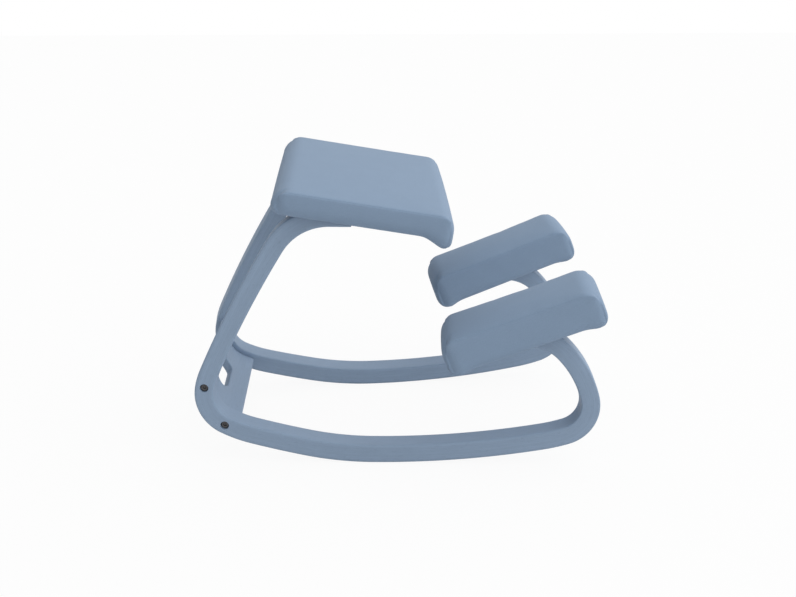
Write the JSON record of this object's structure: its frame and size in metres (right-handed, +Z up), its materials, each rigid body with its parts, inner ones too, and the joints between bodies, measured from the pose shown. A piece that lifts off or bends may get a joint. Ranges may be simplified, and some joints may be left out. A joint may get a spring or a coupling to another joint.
{
  "type": "kneeling chair",
  "caption": "Rocking kneeling chair on two bent wood runners, with a sloping padded seat, a pair of padded knee rests and a cross board with a hand hole.",
  "frame": {"origin": "on the floor, at the middle of the bounding box's footprint", "axes": "+X the way the sitter faces, +Y to the sitter's left, +Z up"},
  "size_m": [0.7241, 0.5224, 0.5143],
  "materials": {
    "stained_wood": "beech lamination, blue-grey stain under satin lacquer",
    "raw_plywood": "untreated plywood",
    "foam": "moulded foam, open cell",
    "upholstery_cloth": "fine woven wool-blend cloth, blue-grey",
    "lining_cloth": "thin non-woven cloth",
    "zinc_steel": "bright zinc plate",
    "black_steel": "black oxide"
  },
  "bodies": {
    "root": {"right_runner": "stained_wood", "left_runner": "stained_wood", "cross_board": "stained_wood", "board_bolts": "black_steel", "board_barrel_nuts": "zinc_steel", "arm_bolts": "zinc_steel", "arm_washers": "zinc_steel", "arm_tee_nuts": "zinc_steel", "seat_plate": "raw_plywood", "seat_foam": "foam", "seat_cover": "upholstery_cloth", "seat_lining": "lining_cloth", "right_knee_plate": "raw_plywood", "right_knee_foam": "foam", "right_knee_cover": "upholstery_cloth", "right_knee_lining": "lining_cloth", "left_knee_plate": "raw_plywood", "left_knee_foam": "foam", "left_knee_cover": "upholstery_cloth", "left_knee_lining": "lining_cloth"}
  },
  "joints": []
}
